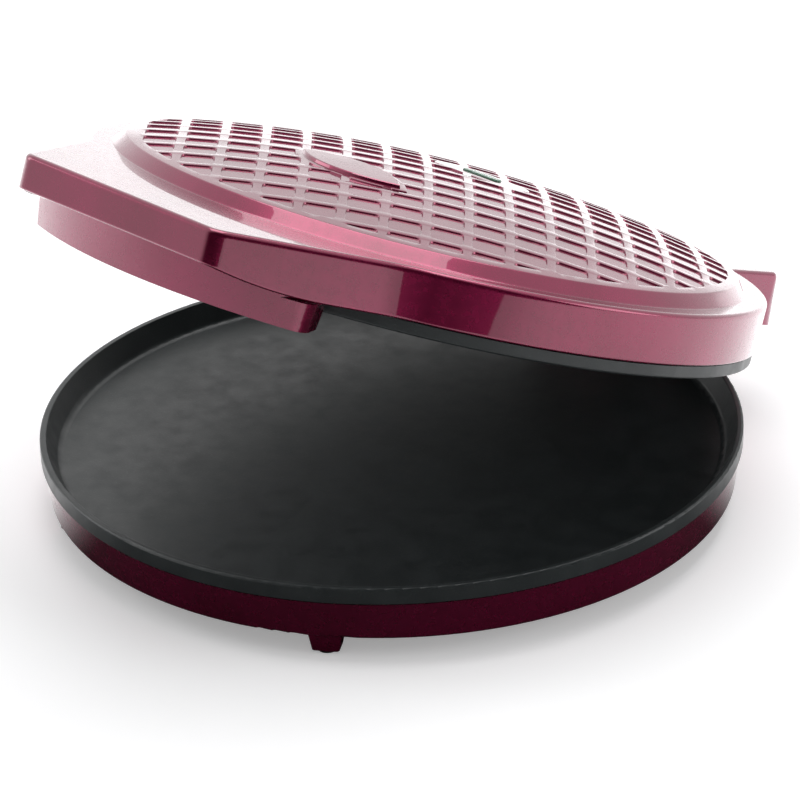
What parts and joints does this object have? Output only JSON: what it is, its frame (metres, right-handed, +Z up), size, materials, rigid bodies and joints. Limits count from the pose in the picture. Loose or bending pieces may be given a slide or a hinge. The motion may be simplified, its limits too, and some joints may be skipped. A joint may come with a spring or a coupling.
{
  "type": "electric pizza maker",
  "caption": "Round countertop pizza cooker with a domed, diamond-patterned hinged lid, handle, and two deep non-stick plates.",
  "frame": {"origin": "middle of the whole box at rest, on the plane that the feet stand on", "axes": "+Z up, +Y from the handle towards the hinge, +X to the right seen from the handle; the hinge axis lies along X; the lid rests 21.6 degrees open"},
  "size_m": [0.324, 0.3586, 0.2031],
  "materials": {
    "casing_plastic": "gloss, deep red",
    "cover_plastic": "satin, dark red",
    "plate_coating": "satin dark non-stick coating",
    "upper_coating": "satin dark non-stick coating",
    "pad_rubber": "matte",
    "bush_rubber": "matte",
    "tube_steel": "heat-tinted",
    "sheet_steel": "bright galvanised",
    "strap_steel": "satin",
    "screw_steel": "zinc plated",
    "rivet_aluminium": "plain",
    "pin_steel": "ground",
    "sensor_steel": "plain",
    "fuse_sleeve": "woven glass sleeve",
    "block_plastic": "matte",
    "wire_cover": "matte",
    "lens_plastic": "clear green",
    "holder_plastic": "matte",
    "lamp_glass": "clear"
  },
  "bodies": {
    "base": {"base_casing": "casing_plastic", "base_lead_grommet": "bush_rubber", "base_terminal_block": "block_plastic", "base_wires": "wire_cover", "cord_gland": "bush_rubber", "foot_pads": "pad_rubber", "hinge_pin_left": "pin_steel", "hinge_pin_right": "pin_steel", "lower_clip_rivets": "rivet_aluminium", "lower_element_clips": "strap_steel", "lower_fuse_rivets": "rivet_aluminium", "lower_fuse_strap": "strap_steel", "lower_heat_shield": "sheet_steel", "lower_heating_element": "tube_steel", "lower_plate": "plate_coating", "lower_plate_screws": "screw_steel", "lower_thermal_fuse": "fuse_sleeve", "thermostat": "sensor_steel", "thermostat_rivets": "rivet_aluminium", "thermostat_strap": "strap_steel"},
    "lid": {"handle_cover": "cover_plastic", "handle_cover_screws": "screw_steel", "hinge_bracket": "cover_plastic", "hinge_bracket_screws": "screw_steel", "lamp_holder": "holder_plastic", "lamp_lens": "lens_plastic", "lid_casing": "casing_plastic", "lid_lead_grommet": "bush_rubber", "lid_terminal_block": "block_plastic", "lid_wires": "wire_cover", "neon_lamp": "lamp_glass", "upper_clip_rivets": "rivet_aluminium", "upper_element_clips": "strap_steel", "upper_fuse_rivets": "rivet_aluminium", "upper_fuse_strap": "strap_steel", "upper_heat_shield": "sheet_steel", "upper_heating_element": "tube_steel", "upper_plate": "upper_coating", "upper_plate_screws": "screw_steel", "upper_thermal_fuse": "fuse_sleeve"}
  },
  "joints": [
    {"name": "lid_hinge", "type": "hinge", "parent": "base", "child": "lid", "pos_m": [0, 0.16628, 0.0243], "axis": [-1, 0, 0], "range_deg": [-21.6, 73.4]}
  ]
}
